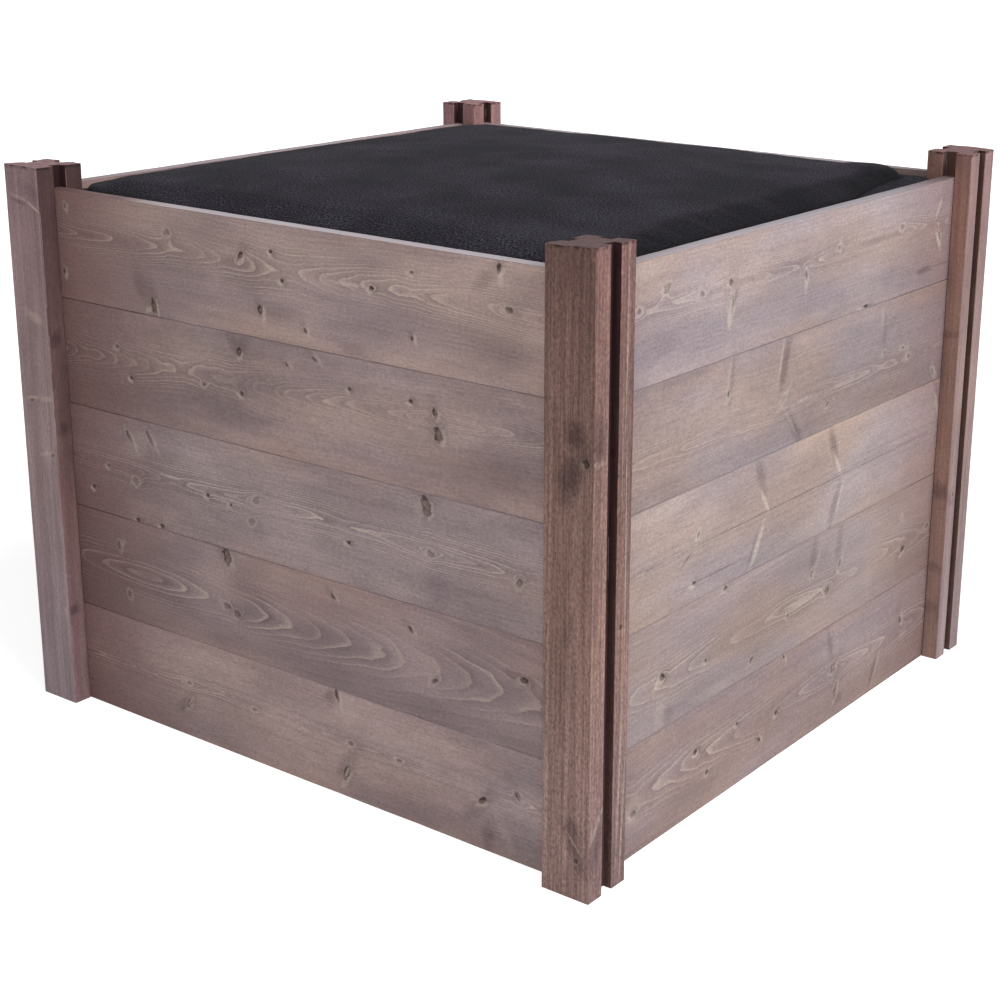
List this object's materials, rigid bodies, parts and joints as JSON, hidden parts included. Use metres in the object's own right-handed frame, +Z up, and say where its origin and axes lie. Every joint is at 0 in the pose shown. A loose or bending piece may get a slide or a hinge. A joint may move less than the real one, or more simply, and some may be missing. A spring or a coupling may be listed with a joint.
{
  "type": "compost bin",
  "caption": "Square slot-together timber compost bin: boards lift out of grooved corner posts, with an open base and a padded fabric cover.",
  "frame": {"origin": "centre of the bin's footprint, on the ground", "axes": "+Z up, +X to the right seen from the front, -Y the front"},
  "size_m": [1, 1, 0.79],
  "materials": {
    "post_wood": "stained rough softwood, matte",
    "front_board_wood": "stained rough softwood, matte",
    "rear_board_wood": "stained rough softwood, matte",
    "left_board_wood": "stained rough softwood, matte",
    "right_board_wood": "stained rough softwood, matte",
    "cover_fabric": "matte black woven cloth",
    "cover_wadding": "soft fibre wadding"
  },
  "bodies": {
    "posts": {"post_front_left": "post_wood", "post_front_right": "post_wood", "post_rear_left": "post_wood", "post_rear_right": "post_wood"},
    "front_board_1": {"front_board_1": "front_board_wood"},
    "front_board_2": {"front_board_2": "front_board_wood"},
    "front_board_3": {"front_board_3": "front_board_wood"},
    "front_board_4": {"front_board_4": "front_board_wood"},
    "front_board_5": {"front_board_5": "front_board_wood"},
    "rear_board_1": {"rear_board_1": "rear_board_wood"},
    "rear_board_2": {"rear_board_2": "rear_board_wood"},
    "rear_board_3": {"rear_board_3": "rear_board_wood"},
    "rear_board_4": {"rear_board_4": "rear_board_wood"},
    "rear_board_5": {"rear_board_5": "rear_board_wood"},
    "left_board_1": {"left_board_1": "left_board_wood"},
    "left_board_2": {"left_board_2": "left_board_wood"},
    "left_board_3": {"left_board_3": "left_board_wood"},
    "left_board_4": {"left_board_4": "left_board_wood"},
    "left_board_5": {"left_board_5": "left_board_wood"},
    "right_board_1": {"right_board_1": "right_board_wood"},
    "right_board_2": {"right_board_2": "right_board_wood"},
    "right_board_3": {"right_board_3": "right_board_wood"},
    "right_board_4": {"right_board_4": "right_board_wood"},
    "right_board_5": {"right_board_5": "right_board_wood"},
    "cover": {"cover_top_panel": "cover_fabric", "cover_bottom_panel": "cover_fabric", "cover_wadding": "cover_wadding"}
  },
  "joints": [
    {"name": "front_board_1_lift", "type": "slide", "parent": "posts", "child": "front_board_1", "axis": [0, 0, 1], "range_m": [0, 0.8]},
    {"name": "front_board_2_lift", "type": "slide", "parent": "front_board_1", "child": "front_board_2", "axis": [0, 0, 1], "range_m": [0, 0.6492]},
    {"name": "front_board_3_lift", "type": "slide", "parent": "front_board_2", "child": "front_board_3", "axis": [0, 0, 1], "range_m": [0, 0.4984]},
    {"name": "front_board_4_lift", "type": "slide", "parent": "front_board_3", "child": "front_board_4", "axis": [0, 0, 1], "range_m": [0, 0.3476]},
    {"name": "front_board_5_lift", "type": "slide", "parent": "front_board_4", "child": "front_board_5", "axis": [0, 0, 1], "range_m": [0, 0.1968]},
    {"name": "rear_board_1_lift", "type": "slide", "parent": "posts", "child": "rear_board_1", "axis": [0, 0, 1], "range_m": [0, 0.8]},
    {"name": "rear_board_2_lift", "type": "slide", "parent": "rear_board_1", "child": "rear_board_2", "axis": [0, 0, 1], "range_m": [0, 0.6492]},
    {"name": "rear_board_3_lift", "type": "slide", "parent": "rear_board_2", "child": "rear_board_3", "axis": [0, 0, 1], "range_m": [0, 0.4984]},
    {"name": "rear_board_4_lift", "type": "slide", "parent": "rear_board_3", "child": "rear_board_4", "axis": [0, 0, 1], "range_m": [0, 0.3476]},
    {"name": "rear_board_5_lift", "type": "slide", "parent": "rear_board_4", "child": "rear_board_5", "axis": [0, 0, 1], "range_m": [0, 0.1968]},
    {"name": "left_board_1_lift", "type": "slide", "parent": "posts", "child": "left_board_1", "axis": [0, 0, 1], "range_m": [0, 0.8]},
    {"name": "left_board_2_lift", "type": "slide", "parent": "left_board_1", "child": "left_board_2", "axis": [0, 0, 1], "range_m": [0, 0.6492]},
    {"name": "left_board_3_lift", "type": "slide", "parent": "left_board_2", "child": "left_board_3", "axis": [0, 0, 1], "range_m": [0, 0.4984]},
    {"name": "left_board_4_lift", "type": "slide", "parent": "left_board_3", "child": "left_board_4", "axis": [0, 0, 1], "range_m": [0, 0.3476]},
    {"name": "left_board_5_lift", "type": "slide", "parent": "left_board_4", "child": "left_board_5", "axis": [0, 0, 1], "range_m": [0, 0.1968]},
    {"name": "right_board_1_lift", "type": "slide", "parent": "posts", "child": "right_board_1", "axis": [0, 0, 1], "range_m": [0, 0.8]},
    {"name": "right_board_2_lift", "type": "slide", "parent": "right_board_1", "child": "right_board_2", "axis": [0, 0, 1], "range_m": [0, 0.6492]},
    {"name": "right_board_3_lift", "type": "slide", "parent": "right_board_2", "child": "right_board_3", "axis": [0, 0, 1], "range_m": [0, 0.4984]},
    {"name": "right_board_4_lift", "type": "slide", "parent": "right_board_3", "child": "right_board_4", "axis": [0, 0, 1], "range_m": [0, 0.3476]},
    {"name": "right_board_5_lift", "type": "slide", "parent": "right_board_4", "child": "right_board_5", "axis": [0, 0, 1], "range_m": [0, 0.1968]},
    {"name": "cover_lift", "type": "slide", "parent": "posts", "child": "cover", "axis": [0, 0, 1], "range_m": [0, 0.09]}
  ]
}
